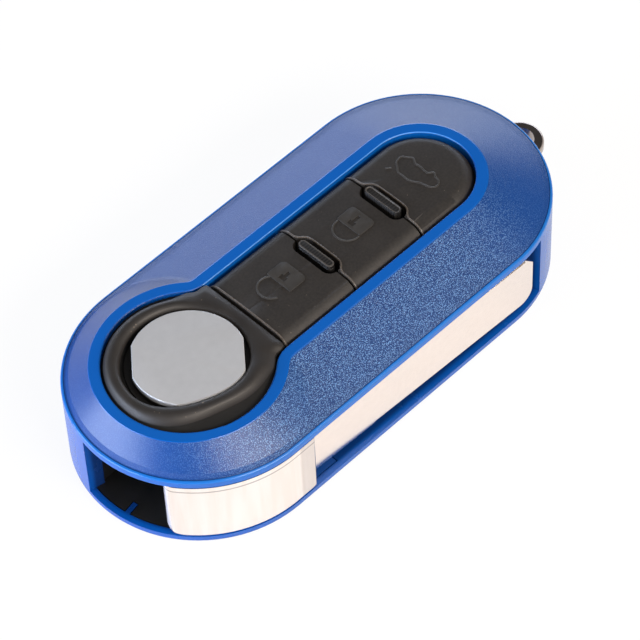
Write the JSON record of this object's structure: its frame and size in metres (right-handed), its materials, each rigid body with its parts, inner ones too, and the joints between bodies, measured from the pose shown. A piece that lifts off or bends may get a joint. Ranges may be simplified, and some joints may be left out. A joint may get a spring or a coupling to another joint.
{
  "type": "flip key remote shell",
  "caption": "Oval flip key remote: blue plastic case, black key pad with a round metal release button, and a plain blade folded along its side in a chrome head.",
  "frame": {"origin": "centre of the case outline, on its flat back", "axes": "+X along the case towards the key-ring eye, -Y the side where the blade lies, +Z the side with the keys"},
  "size_m": [0.0857, 0.037, 0.0182],
  "materials": {
    "cover_blue": "fine leather grain with a smooth glossy rim",
    "shell_blue": "smooth semi-gloss",
    "housing_black": "plain moulded",
    "bezel_black": "soft satin",
    "key_rubber": "soft matte with fine raised symbols",
    "button_metal": "fine satin",
    "head_chrome": "polished",
    "blade_plate": "bright plated, lightly brushed",
    "pin_steel": "bare steel",
    "spring_steel": "bright wire",
    "board_green": "solder mask",
    "part_black": "moulded component body",
    "contact_plate": "plated spring strip",
    "cell_steel": "bright can",
    "eye_chrome": "dark polished"
  },
  "bodies": {
    "case": {"front_cover": "cover_blue", "rear_shell": "shell_blue", "inner_chassis": "housing_black", "hinge_pin": "pin_steel", "keypad_frame": "housing_black", "release_bezel": "bezel_black", "keypad_membrane": "key_rubber", "circuit_board": "board_green", "switch_unlock": "part_black", "switch_lock": "part_black", "switch_trunk": "part_black", "control_chip": "part_black", "crystal": "contact_plate", "antenna_coil": "part_black", "resistors": "part_black", "board_screws": "pin_steel", "coin_cell": "cell_steel", "contact_negative": "contact_plate", "contact_positive": "contact_plate", "transponder": "part_black", "key_loop": "eye_chrome", "loop_pin": "pin_steel", "release_spring": "spring_steel"},
    "flip": {"flip_head": "head_chrome", "key_blade": "blade_plate", "blade_pin": "pin_steel", "flip_spring": "spring_steel"},
    "release": {"release_button": "button_metal", "lock_plunger": "pin_steel"},
    "unlock_key": {"button_unlock": "key_rubber"},
    "lock_key": {"button_lock": "key_rubber"},
    "trunk_key": {"button_trunk": "key_rubber"}
  },
  "joints": [
    {"name": "blade_flip", "type": "hinge", "parent": "case", "child": "flip", "pos_m": [-0.0252, -0.0075, 0], "axis": [0, 0, -1], "range_deg": [0, 178]},
    {"name": "release_press", "type": "slide", "parent": "case", "child": "release", "axis": [0, 0, -1], "range_m": [0, 0.0012], "stiffness_N_per_m": 2500, "deforming": ["release_spring"]},
    {"name": "unlock_press", "type": "slide", "parent": "case", "child": "unlock_key", "axis": [0, 0, -1], "range_m": [0, 0.0005], "stiffness_N_per_m": 4000, "deforming": ["keypad_membrane"]},
    {"name": "lock_press", "type": "slide", "parent": "case", "child": "lock_key", "axis": [0, 0, -1], "range_m": [0, 0.0005], "stiffness_N_per_m": 4000, "deforming": ["keypad_membrane"]},
    {"name": "trunk_press", "type": "slide", "parent": "case", "child": "trunk_key", "axis": [0, 0, -1], "range_m": [0, 0.0005], "stiffness_N_per_m": 4000, "deforming": ["keypad_membrane"]}
  ]
}
